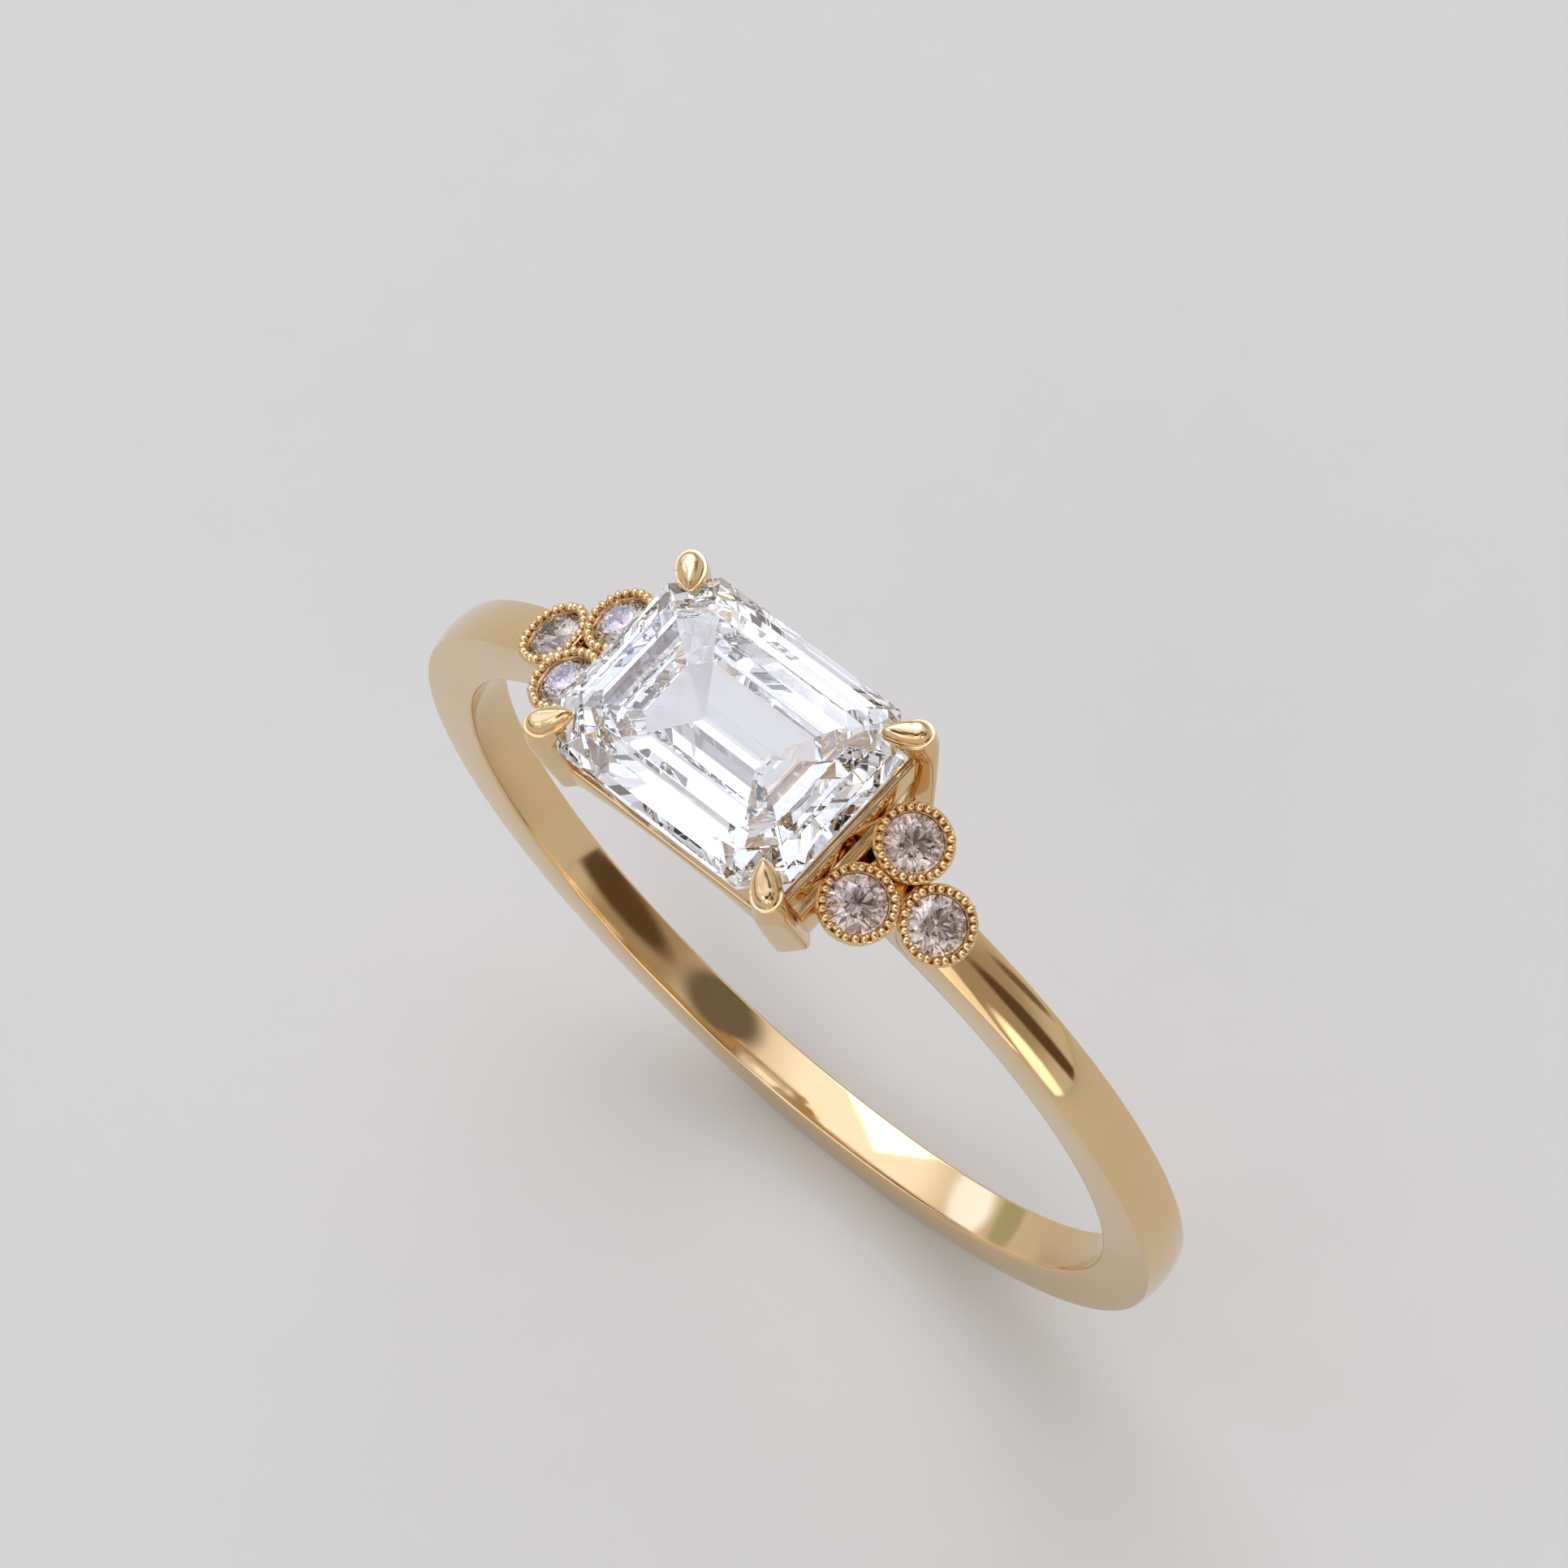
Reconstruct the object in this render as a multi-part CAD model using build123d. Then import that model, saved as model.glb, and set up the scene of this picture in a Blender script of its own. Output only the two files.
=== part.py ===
from build123d import *
import os
from math import atan2, cos, degrees, radians, sin, sqrt, tan

# An east-west engagement ring, every size in millimetres.
# Frame: the origin is the centre of the finger hole, Y runs along the finger,
# X runs along the band at the head, and +Z points up to the centre stone's table.

# Shank
BORE_RADIUS = 8.25
EDGE_RADIUS = 9.40            # outer radius at the two crisp edges
CREST_RADIUS = 9.50           # outer radius at the crest of the low dome
SHANK_WIDTH = 1.08
SHANK_END_ANGLE = 18.0        # from +Z to each end of the open shank, degrees
SHANK_STEP_ANGLE = 25.5       # nearer the head than this, the shank is only a thin tongue
INNER_EDGE_ROUND = 0.06
HEAD_RELIEF_RADIUS = 8.45     # the head rests on the tongues, this far from the finger's axis

# Centre stone: a step-cut octagon with its long side along the band
STONE_LENGTH = 5.82
STONE_WIDTH = 4.50
STONE_CORNER = 0.71           # leg of the cut corner at the girdle
GIRDLE_Z = 10.18
# Each level is its height from the girdle plane, its inset from the girdle outline,
# and the leg of its cut corner.
CROWN_LEVELS = [(0.55, 0.765, 0.53), (0.41, 0.45, 0.60), (0.22, 0.17, 0.665), (0.05, 0.0, STONE_CORNER)]
PAVILION_LEVELS = [(-0.05, 0.0, STONE_CORNER), (-0.80, 0.62, 0.55), (-1.36, 1.33, 0.34), (-1.72, 2.21, 0.03)]

# Accent stones: round brilliants
ACCENT_RADIUS = 0.57
ACCENT_GIRDLE = 0.03          # thickness of the girdle
TABLE_RATIO = 0.56            # table radius over stone radius
STAR_RATIO = 0.79             # radius where two stars' outer points meet the kites
PAVILION_RATIO = 0.22         # radius where the lower halves end
CROWN_ANGLE = 34.0
PAVILION_ANGLE = 40.8
BRILLIANT_FOLDS = 8

# Bezel cups
CUP_RADIUS = 0.77             # outside, at the rim
CUP_BASE_RADIUS = 0.60        # outside, at the bottom
CUP_HEIGHT = 0.93
CUP_MOUTH_RADIUS = 0.58
CUP_HOLE_RADIUS = 0.30
CUP_GIRDLE_DEPTH = 0.17       # from the rim down to the accent stone's girdle
CUP_SEAT_SLACK = 0.01
PAIR_X, PAIR_Y, PAIR_Z, PAIR_TILT = 3.69, 0.775, 9.05, 23.1
OUTER_X, OUTER_Z, OUTER_TILT = 4.854, 8.34, 31.1

# Claws
CLAW_TIP_X, CLAW_TIP_Y = 2.77, 2.03
CLAW_TIP_RADIUS = 0.31
CLAW_TIP_POINT = 0.50         # from the tip's centre to its point over the stone
CLAW_TIP_BOTTOM, CLAW_TIP_TOP = 10.05, 10.56
CLAW_TIP_ROUND = 0.17
LEG_WIDTH = 0.66
LEG_TOP = (2.84, 2.10, 10.30)
LEG_FOOT = (2.76, 1.76, 7.60)
LEG_TOP_DEPTH, LEG_FOOT_DEPTH = 0.60, 0.48
LEG_ROUND = 0.14

# Head plates, upright between the claws just under the stone's short sides
PLATE_INNER_X, PLATE_OUTER_X = 2.76, 2.93
PLATE_TOP, PLATE_BOTTOM = 9.74, 9.20
PLATE_HALF_LENGTH = 1.75
PLATE_ROUND = 0.04

# Base bars of the basket, between the claws' feet
BAR_TOP, BAR_BOTTOM = 8.62, 7.70
SIDE_BAR_INNER_Y, SIDE_BAR_OUTER_Y = 1.62, 2.00
SIDE_BAR_HALF_LENGTH = 2.70
END_BAR_INNER_X, END_BAR_OUTER_X = 2.52, 2.95
END_BAR_HALF_LENGTH = 1.70
BAR_ROUND = 0.12

# Shoulder bridges, on the shank's tongues between its full section and the basket
BRIDGE_TOP_RADIUS = 8.95
BRIDGE_HEAD_HALF_WIDTH = 1.22
BRIDGE_HEAD_ANGLE = 17.0      # well inside the basket's end bar, which trims the bridge

LONG = 60.0                   # a length well past the ring, for cutters
WIDE_RADIUS = 12.0            # a radius well past the shank, for cutters


def cylinder_along_y(radius):
    return Cylinder(radius, LONG, rotation=(90, 0, 0))


def plane_facet(points):
    return Face(Wire.make_polygon([Vector(*point) for point in points], close=True))


def closed_solid(facets):
    return Solid(Shell(facets))


# ---------------------------------------------------------------- stones

def octagon(level):
    """Corner points of one level of the step cut, counter-clockwise from above."""
    height, inset, corner = level
    half_length = STONE_LENGTH / 2 - inset
    half_width = STONE_WIDTH / 2 - inset
    quarter = [(half_length, half_width - corner), (half_length - corner, half_width)]
    right_back = quarter
    left_back = [(-x, y) for x, y in reversed(quarter)]
    left_front = [(-x, -y) for x, y in quarter]
    right_front = [(x, -y) for x, y in reversed(quarter)]
    outline = right_back + left_back + left_front + right_front
    return [(x, y, GIRDLE_Z + height) for x, y in outline]


def centre_stone():
    rings = [octagon(level) for level in CROWN_LEVELS + PAVILION_LEVELS]
    facets = [plane_facet(rings[0]), plane_facet(rings[-1])]
    for upper, lower in zip(rings, rings[1:]):
        for i in range(len(upper)):
            j = (i + 1) % len(upper)
            facets.append(plane_facet([upper[i], upper[j], lower[j], lower[i]]))
    return closed_solid(facets)


def round_brilliant():
    """A round brilliant with its girdle plane at z = 0 and its table up."""
    r = ACCENT_RADIUS
    fold = 360 / BRILLIANT_FOLDS
    crown_slope = tan(radians(CROWN_ANGLE))
    pavilion_slope = tan(radians(PAVILION_ANGLE))
    half_fold_cos = cos(radians(fold / 2))
    girdle_top, girdle_bottom = ACCENT_GIRDLE / 2, -ACCENT_GIRDLE / 2
    table_z = girdle_top + r * (1 - TABLE_RATIO) * crown_slope
    star_z = girdle_top + r * (1 - STAR_RATIO * half_fold_cos) * crown_slope
    lower_z = girdle_bottom - r * (1 - PAVILION_RATIO * half_fold_cos) * pavilion_slope
    culet = (0, 0, girdle_bottom - r * pavilion_slope)

    def at(folds, radius, z):
        angle = radians(folds * fold)
        return (radius * cos(angle), radius * sin(angle), z)

    facets = [plane_facet([at(i, r * TABLE_RATIO, table_z) for i in range(BRILLIANT_FOLDS)])]
    for i in range(BRILLIANT_FOLDS):
        table = at(i, r * TABLE_RATIO, table_z)
        next_table = at(i + 1, r * TABLE_RATIO, table_z)
        star = at(i + 0.5, r * STAR_RATIO, star_z)
        last_star = at(i - 0.5, r * STAR_RATIO, star_z)
        lower = at(i + 0.5, r * PAVILION_RATIO, lower_z)
        last_lower = at(i - 0.5, r * PAVILION_RATIO, lower_z)
        top = [at(i, r, girdle_top), at(i + 0.5, r, girdle_top), at(i + 1, r, girdle_top)]
        bottom = [at(i, r, girdle_bottom), at(i + 0.5, r, girdle_bottom), at(i + 1, r, girdle_bottom)]
        facets.append(plane_facet([table, next_table, star]))
        facets.append(plane_facet([table, last_star, top[0], star]))
        facets.append(plane_facet([culet, last_lower, bottom[0], lower]))
        for start, end in ((0, 1), (1, 2)):
            facets.append(plane_facet([top[start], top[end], star]))
            facets.append(plane_facet([top[start], top[end], bottom[end], bottom[start]]))
            facets.append(plane_facet([bottom[start], bottom[end], lower]))
    return closed_solid(facets)


# ---------------------------------------------------------------- bezel cups

def cup_places():
    """Name and place of each cup's rim centre, with the cup's axis along the place's z."""
    places = {}
    for side, sign in (("right", 1), ("left", -1)):
        pair_turn = (0, sign * PAIR_TILT, 0)
        places[side + "_front"] = Location((sign * PAIR_X, -PAIR_Y, PAIR_Z), pair_turn)
        places[side + "_back"] = Location((sign * PAIR_X, PAIR_Y, PAIR_Z), pair_turn)
        places[side + "_outer"] = Location((sign * OUTER_X, 0, OUTER_Z), (0, sign * OUTER_TILT, 0))
    return places


def turned(outline):
    """Solid of revolution about z from (radius, height) points."""
    section = make_face(Polyline(*[(radius, 0, height) for radius, height in outline], close=True))
    return revolve(section, Axis.Z)


def bezel_cup():
    seat_radius = ACCENT_RADIUS + CUP_SEAT_SLACK
    seat_z = -CUP_GIRDLE_DEPTH - ACCENT_GIRDLE / 2
    hole_z = seat_z - (seat_radius - CUP_HOLE_RADIUS) * tan(radians(PAVILION_ANGLE))
    return turned([
        (CUP_MOUTH_RADIUS, 0),
        (CUP_RADIUS, 0),
        (CUP_BASE_RADIUS, -CUP_HEIGHT),
        (CUP_HOLE_RADIUS, -CUP_HEIGHT),
        (CUP_HOLE_RADIUS, hole_z),
        (seat_radius, seat_z),
    ])


def cup_envelope():
    return turned([(0, 0), (CUP_RADIUS, 0), (CUP_BASE_RADIUS, -CUP_HEIGHT), (0, -CUP_HEIGHT)])


# ---------------------------------------------------------------- shank and shoulders

def ring_sector(inner_radius, outer_radius, start, end):
    """Part of a thick ring round Y, between two angles from +Z towards +X, in degrees."""
    middle = (start + end) / 2

    def on_circle(radius, angle):
        return (radius * sin(radians(angle)), 0, radius * cos(radians(angle)))

    side_view = make_face([
        ThreePointArc(*[on_circle(inner_radius, angle) for angle in (start, middle, end)]),
        Line(on_circle(inner_radius, end), on_circle(outer_radius, end)),
        ThreePointArc(*[on_circle(outer_radius, angle) for angle in (end, middle, start)]),
        Line(on_circle(outer_radius, start), on_circle(inner_radius, start)),
    ])
    return extrude(side_view, amount=LONG / 2, dir=(0, 1, 0), both=True)


def shank(cup_space):
    half = SHANK_WIDTH / 2
    section = make_face([
        Line((BORE_RADIUS, half), (BORE_RADIUS, -half)),
        Line((BORE_RADIUS, -half), (EDGE_RADIUS, -half)),
        ThreePointArc((EDGE_RADIUS, -half), (CREST_RADIUS, 0), (EDGE_RADIUS, half)),
        Line((EDGE_RADIUS, half), (BORE_RADIUS, half)),
    ])
    inner_corners = section.vertices().sort_by(Axis.X)[:2]
    section = fillet(inner_corners, INNER_EDGE_ROUND)
    band = revolve(section, Axis.Y, revolution_arc=360 - 2 * SHANK_END_ANGLE)
    band = band.rotate(Axis.Y, SHANK_END_ANGLE - 90)
    head_space = ring_sector(HEAD_RELIEF_RADIUS, WIDE_RADIUS, -SHANK_STEP_ANGLE, SHANK_STEP_ANGLE)
    return band - [head_space] - cup_space


def shoulder_bridge(sign, cup_space):
    """A curved plate that carries the pair of cups and widens towards the head."""
    start, end = sorted((sign * BRIDGE_HEAD_ANGLE, sign * SHANK_STEP_ANGLE))
    plate = ring_sector(HEAD_RELIEF_RADIUS, BRIDGE_TOP_RADIUS, start, end)
    head_x = sign * END_BAR_OUTER_X
    narrow_x = sign * HEAD_RELIEF_RADIUS * sin(radians(SHANK_STEP_ANGLE))
    half = SHANK_WIDTH / 2
    plan = make_face(Polyline(
        (head_x, -BRIDGE_HEAD_HALF_WIDTH),
        (narrow_x, -half),
        (sign * WIDE_RADIUS, -half),
        (sign * WIDE_RADIUS, half),
        (narrow_x, half),
        (head_x, BRIDGE_HEAD_HALF_WIDTH),
        close=True,
    ))
    return (plate & extrude(plan, amount=LONG)) - cup_space


# ---------------------------------------------------------------- head

def claw_tip():
    """Drop-shaped pad with its point towards -X, centred on the origin."""
    touch = CLAW_TIP_RADIUS ** 2 / CLAW_TIP_POINT
    touch_y = sqrt(CLAW_TIP_RADIUS ** 2 - touch ** 2)
    drop = make_face([
        Line((-CLAW_TIP_POINT, 0), (-touch, touch_y)),
        ThreePointArc((-touch, touch_y), (CLAW_TIP_RADIUS, 0), (-touch, -touch_y)),
        Line((-touch, -touch_y), (-CLAW_TIP_POINT, 0)),
    ])
    pad = extrude(drop, amount=CLAW_TIP_TOP - CLAW_TIP_BOTTOM)
    return fillet(pad.edges().group_by(Axis.Z)[-1], CLAW_TIP_ROUND)


def claw(sign_x, sign_y, cutters):
    facing = degrees(atan2(sign_y, sign_x))
    sections = []
    for (x, y, z), depth in ((LEG_TOP, LEG_TOP_DEPTH), (LEG_FOOT, LEG_FOOT_DEPTH)):
        place = Location((sign_x * x, sign_y * y, z), (0, 0, facing))
        sections.append(place * RectangleRounded(depth, LEG_WIDTH, LEG_ROUND))
    leg = loft(sections)
    tip_place = Location((sign_x * CLAW_TIP_X, sign_y * CLAW_TIP_Y, CLAW_TIP_BOTTOM), (0, 0, facing))
    return leg + tip_place * claw_tip() - cutters


def bar(x_range, y_range, z_range, edge_round):
    (x0, x1), (y0, y1), (z0, z1) = x_range, y_range, z_range
    centre = Location(((x0 + x1) / 2, (y0 + y1) / 2, (z0 + z1) / 2))
    body = centre * Box(abs(x1 - x0), abs(y1 - y0), z1 - z0)
    return fillet(body.edges().group_by(Axis.Z)[-1], edge_round)


def head_plate(sign, cutters):
    x_range = (sign * PLATE_INNER_X, sign * PLATE_OUTER_X)
    y_range = (-PLATE_HALF_LENGTH, PLATE_HALF_LENGTH)
    return bar(x_range, y_range, (PLATE_BOTTOM, PLATE_TOP), PLATE_ROUND) - cutters


def side_bar(sign, cutters):
    x_range = (-SIDE_BAR_HALF_LENGTH, SIDE_BAR_HALF_LENGTH)
    y_range = (sign * SIDE_BAR_INNER_Y, sign * SIDE_BAR_OUTER_Y)
    return bar(x_range, y_range, (BAR_BOTTOM, BAR_TOP), BAR_ROUND) - cutters


def end_bar(sign, cutters):
    x_range = (sign * END_BAR_INNER_X, sign * END_BAR_OUTER_X)
    y_range = (-END_BAR_HALF_LENGTH, END_BAR_HALF_LENGTH)
    return bar(x_range, y_range, (BAR_BOTTOM, BAR_TOP), BAR_ROUND) - cutters


# ---------------------------------------------------------------- assembly

def build_nodes():
    nodes = {}
    places = cup_places()
    envelope = cup_envelope()
    cup_space = [place * envelope for place in places.values()]
    finger = cylinder_along_y(HEAD_RELIEF_RADIUS)

    nodes["shank"] = shank(cup_space)
    stone = centre_stone()
    nodes["centre_stone"] = stone

    claws = []
    for side, sign_x in (("right", 1), ("left", -1)):
        for depth, sign_y in (("front", -1), ("back", 1)):
            piece = claw(sign_x, sign_y, [stone, finger])
            nodes["claw_" + side + "_" + depth] = piece
            claws.append(piece)

    for side, sign in (("right", 1), ("left", -1)):
        nodes["head_plate_" + side] = head_plate(sign, claws + [stone])
        nodes["basket_end_bar_" + side] = end_bar(sign, claws + cup_space + [finger])
        nodes["shoulder_bridge_" + side] = shoulder_bridge(sign, cup_space)
    for depth, sign in (("front", -1), ("back", 1)):
        nodes["basket_side_bar_" + depth] = side_bar(sign, claws + [finger])

    cup = bezel_cup()
    accent = Location((0, 0, -CUP_GIRDLE_DEPTH)) * round_brilliant()
    for name, place in places.items():
        nodes["bezel_" + name] = place * cup
        nodes["accent_stone_" + name] = place * accent
    return nodes


os.makedirs("parts", exist_ok=True)
for node_name, node in build_nodes().items():
    export_step(node, "parts/" + node_name + ".step")
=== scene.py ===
from math import atan2, cos, pi, radians, sin, sqrt, tan
from random import Random

import bmesh
import bpy
from bpy.props import FloatProperty, FloatVectorProperty, IntProperty, PointerProperty
from bpy.types import Operator, Panel, PropertyGroup
from mathutils import Matrix, Vector, noise


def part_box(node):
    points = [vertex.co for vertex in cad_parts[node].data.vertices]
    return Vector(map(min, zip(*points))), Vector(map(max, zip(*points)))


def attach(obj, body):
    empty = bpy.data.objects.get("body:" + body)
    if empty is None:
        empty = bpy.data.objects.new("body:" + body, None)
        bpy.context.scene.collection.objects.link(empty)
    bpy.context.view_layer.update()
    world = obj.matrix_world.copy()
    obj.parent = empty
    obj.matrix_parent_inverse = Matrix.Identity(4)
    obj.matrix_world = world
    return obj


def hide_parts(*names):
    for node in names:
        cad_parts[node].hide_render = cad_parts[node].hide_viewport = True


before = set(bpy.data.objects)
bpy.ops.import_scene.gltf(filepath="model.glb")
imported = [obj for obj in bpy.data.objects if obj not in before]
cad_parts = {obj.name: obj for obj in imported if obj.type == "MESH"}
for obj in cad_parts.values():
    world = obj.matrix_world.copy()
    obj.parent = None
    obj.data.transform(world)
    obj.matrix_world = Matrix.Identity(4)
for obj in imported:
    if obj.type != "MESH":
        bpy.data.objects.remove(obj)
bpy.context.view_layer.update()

bl_info = {
    "name": "East-West Engagement Ring",
    "version": (1, 0, 0),
    "blender": (4, 5, 0),
    "location": "3D View > Sidebar > Ring",
    "description": "Builds a slim engagement ring with a crosswise step-cut stone and beaded side cups",
    "category": "Add Mesh",
}

MM = 0.001
SIDES = (("right", 1), ("left", -1))
DEPTHS = (("front", -1), ("back", 1))

# Boxes of the CAD nodes that set the sizes below
BAND_LOW, BAND_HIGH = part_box("shank")
STONE_LOW, STONE_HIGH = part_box("centre_stone")
PLATE_LOW, PLATE_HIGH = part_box("head_plate_right")
END_BAR_LOW, END_BAR_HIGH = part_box("basket_end_bar_right")
SIDE_BAR_LOW, SIDE_BAR_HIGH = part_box("basket_side_bar_back")
CLAW_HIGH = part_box("claw_right_back")[1]

# Rim centres of the cups in millimetres and their tilts away from the top in degrees
PAIR_CENTRE, PAIR_LEAN = (3.69, 0.775, 9.05), 23.1
OUTER_CENTRE, OUTER_LEAN = (4.854, 0.0, 8.34), 31.1

# Facet angles of the small stones in degrees, and their facet circles as shares of the radius
CROWN_ANGLE, PAVILION_ANGLE = 34.0, 40.8
TABLE_SHARE, STAR_SHARE, LOWER_SHARE = 0.56, 0.79, 0.22

# Steps of the centre stone: share of the crown's or pavilion's height, inset of the sides and
# leg of the cut corner in millimetres
CROWN_STEPS = ((1.0, 0.765, 0.53), (0.745, 0.45, 0.60), (0.40, 0.17, 0.665))
PAVILION_STEPS = ((0.465, 0.62, 0.55), (0.79, 1.33, 0.34), (1.0, 2.21, 0.03))

DIAMOND_REFRACTION = 2.42


# ------------------------------------------------------------------ sizes and colours

def length(name, description, default):
    return FloatProperty(name=name, description=description, default=default, min=0.0,
                         precision=6, unit="LENGTH", subtype="DISTANCE")


def angle(name, description, degrees):
    return FloatProperty(name=name, description=description, default=radians(degrees),
                         unit="ROTATION", subtype="ANGLE")


def colour(name, description, default):
    return FloatVectorProperty(name=name, description=description, default=default,
                               size=3, min=0.0, max=1.0, subtype="COLOR")


class BandSizes(PropertyGroup):
    finger_radius: length("Finger Hole Radius", "Inside radius of the band", 8.25 * MM)
    edge_radius: length("Edge Radius", "Outside radius at the band's two edges", 9.40 * MM)
    crest_radius: length("Crest Radius", "Outside radius at the top of the dome", BAND_HIGH.x)
    width: length("Width", "Width of the band along the finger", BAND_HIGH.y - BAND_LOW.y)
    edge_round: length("Edge Rounding", "Polished radius of the outer edges", 0.045 * MM)
    inner_round: length("Inner Rounding", "Radius of the inner edges", 0.06 * MM)
    tongue_radius: length("Tongue Radius", "Top of the thin tongues under the head", 8.45 * MM)
    tongue_end: angle("Tongue End", "Angle from the top to the end of each tongue", 18.0)
    step_angle: angle("Step Angle", "Angle from the top to the full section", 25.5)
    bridge_top: length("Bridge Top", "Radius of the shoulder bridge's upper face", 8.90 * MM)
    bridge_half_width: length("Bridge Half Width", "Half width at the head", 1.20 * MM)


class CupSizes(PropertyGroup):
    radius: length("Rim Radius", "Outside radius at the rim", 0.77 * MM)
    base_radius: length("Base Radius", "Outside radius at the bottom", 0.60 * MM)
    height: length("Height", "Height from rim to bottom", 0.93 * MM)
    mouth_radius: length("Mouth Radius", "Inside radius at the rim", 0.58 * MM)
    hole_radius: length("Hole Radius", "Radius of the drilled hole", 0.30 * MM)
    girdle_depth: length("Girdle Depth", "From the rim to the small stone's girdle", 0.17 * MM)
    beads: IntProperty(name="Beads", description="Beads round each rim", default=24, min=8)
    bead_radius: length("Bead Radius", "Radius of one bead", 0.088 * MM)
    bead_circle: length("Bead Circle", "Radius of the circle of beads", 0.670 * MM)
    lip: length("Lip", "Width of the thin lip outside the beads", 0.025 * MM)
    lip_depth: length("Lip Depth", "From the rim plane down to the lip", 0.05 * MM)


class ClawSizes(PropertyGroup):
    tip_x: length("Tip X", "Place of the tip along the band", 2.77 * MM)
    tip_y: length("Tip Y", "Place of the tip along the finger", 2.03 * MM)
    tip_radius: length("Tip Radius", "Half width of the drop-shaped tip", 0.315 * MM)
    tip_point: length("Tip Point", "From the tip's middle to its point", 0.62 * MM)
    tip_climb: FloatProperty(name="Tip Climb", description="Rise of the tip over the stone per length",
                             default=0.36, min=0.0)
    tip_top: length("Tip Top", "Height of the tip above the finger's axis", CLAW_HIGH.z)
    tip_base: length("Tip Base", "Height at which the tip has its full outline", 10.18 * MM)
    shoulder_x: length("Shoulder X", "Place of the leg's top along the band", 2.84 * MM)
    shoulder_y: length("Shoulder Y", "Place of the leg's top along the finger", 2.09 * MM)
    shoulder_z: length("Shoulder Height", "Height at which the leg turns into the tip", 9.86 * MM)
    foot_x: length("Foot X", "Place of the foot along the band", 2.76 * MM)
    foot_y: length("Foot Y", "Place of the foot along the finger", 1.78 * MM)
    leg_width: length("Leg Width", "Width of the leg", 0.66 * MM)
    leg_top_depth: length("Leg Top Depth", "Depth of the leg at the stone", 0.60 * MM)
    leg_foot_depth: length("Leg Foot Depth", "Depth of the leg at its foot", 0.48 * MM)


class StoneSizes(PropertyGroup):
    length: length("Length", "Long side of the centre stone", STONE_HIGH.x - STONE_LOW.x)
    width: length("Width", "Short side of the centre stone", STONE_HIGH.y - STONE_LOW.y)
    corner: length("Corner", "Leg of the cut corner at the girdle", 0.71 * MM)
    girdle_z: length("Girdle Height", "Height of the girdle plane", 10.18 * MM)
    girdle_half: length("Half Girdle", "Half thickness of the girdle", 0.05 * MM)
    table_z: length("Table Height", "Height of the table", STONE_HIGH.z)
    keel_z: length("Keel Height", "Height of the keel", STONE_LOW.z)
    accent_radius: length("Accent Radius", "Radius of a small round stone", 0.57 * MM)
    accent_girdle_half: length("Accent Half Girdle", "Half thickness of its girdle", 0.015 * MM)


class RingColours(PropertyGroup):
    gold: colour("Gold", "Yellow gold", (0.80, 0.59, 0.335))
    gold_deep: colour("Deep Gold", "Gold in its warmer patches", (0.77, 0.555, 0.30))
    centre: colour("Centre Stone", "Body colour of the centre stone", (0.94, 0.945, 0.98))
    centre_deep: colour("Deep Centre Stone", "Its deeper tone", (0.90, 0.91, 0.96))
    accent: colour("Accent Stones", "Body colour of the small stones", (0.74, 0.61, 0.565))
    accent_deep: colour("Deep Accent Stones", "Their deeper tone", (0.38, 0.285, 0.255))
    floor: colour("Floor", "Pale warm paper floor", (0.64, 0.626, 0.592))


# ------------------------------------------------------------------ mesh helpers

def polar(radius, turn, y=0.0):
    """A point on a circle round the finger's axis, with the turn counted from the top towards +X."""
    return Vector((radius * sin(turn), y, radius * cos(turn)))


def skin(rings, loop=False):
    """Vertices and faces of a tube through rings of points, closed by end faces or into a loop."""
    verts = [point for ring in rings for point in ring]
    count, around = len(rings), len(rings[0])
    faces = []
    for i in range(count if loop else count - 1):
        j = (i + 1) % count
        for k in range(around):
            m = (k + 1) % around
            faces.append((i * around + k, i * around + m, j * around + m, j * around + k))
    if not loop:
        faces.append(tuple(reversed(range(around))))
        faces.append(tuple(range((count - 1) * around, count * around)))
    return verts, faces


def rounded(corners, radii, steps=4):
    """An outline of 2-D points whose corners are rounded, each by its own radius."""
    outline = []
    for i, corner in enumerate(corners):
        here = Vector(corner)
        before = (Vector(corners[i - 1]) - here).normalized()
        after = (Vector(corners[(i + 1) % len(corners)]) - here).normalized()
        half = before.angle(after) / 2
        if radii[i] == 0:
            outline.append(here)
            continue
        reach = radii[i] / tan(half)
        centre = here + (before + after).normalized() * (radii[i] / sin(half))
        start, end = here + before * reach - centre, here + after * reach - centre
        sweep = start.angle_signed(end)
        for s in range(steps + 1):
            outline.append(centre + Matrix.Rotation(-sweep * s / steps, 2) @ start)
    return outline


def object_from(name, verts, faces):
    """A mesh object with its normals turned outwards, linked to the scene."""
    mesh = bpy.data.meshes.new(name)
    mesh.from_pydata(verts, [], faces)
    work = bmesh.new()
    work.from_mesh(mesh)
    bmesh.ops.recalc_face_normals(work, faces=work.faces)
    work.to_mesh(mesh)
    work.free()
    piece = bpy.data.objects.new(name, mesh)
    bpy.context.scene.collection.objects.link(piece)
    return piece


def apply_modifiers(piece):
    """Bakes a piece's modifiers into its mesh."""
    graph = bpy.context.evaluated_depsgraph_get()
    evaluated = piece.evaluated_get(graph)
    mesh = bpy.data.meshes.new_from_object(evaluated)
    piece.modifiers.clear()
    piece.data = mesh


def cut(piece, cutters):
    """Takes the cutters' space out of the piece and removes the cutters."""
    for cutter in cutters:
        step = piece.modifiers.new("Cut", "BOOLEAN")
        step.operation = "DIFFERENCE"
        step.solver = "EXACT"
        step.object = cutter
    apply_modifiers(piece)
    for cutter in cutters:
        bpy.data.objects.remove(cutter)


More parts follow.
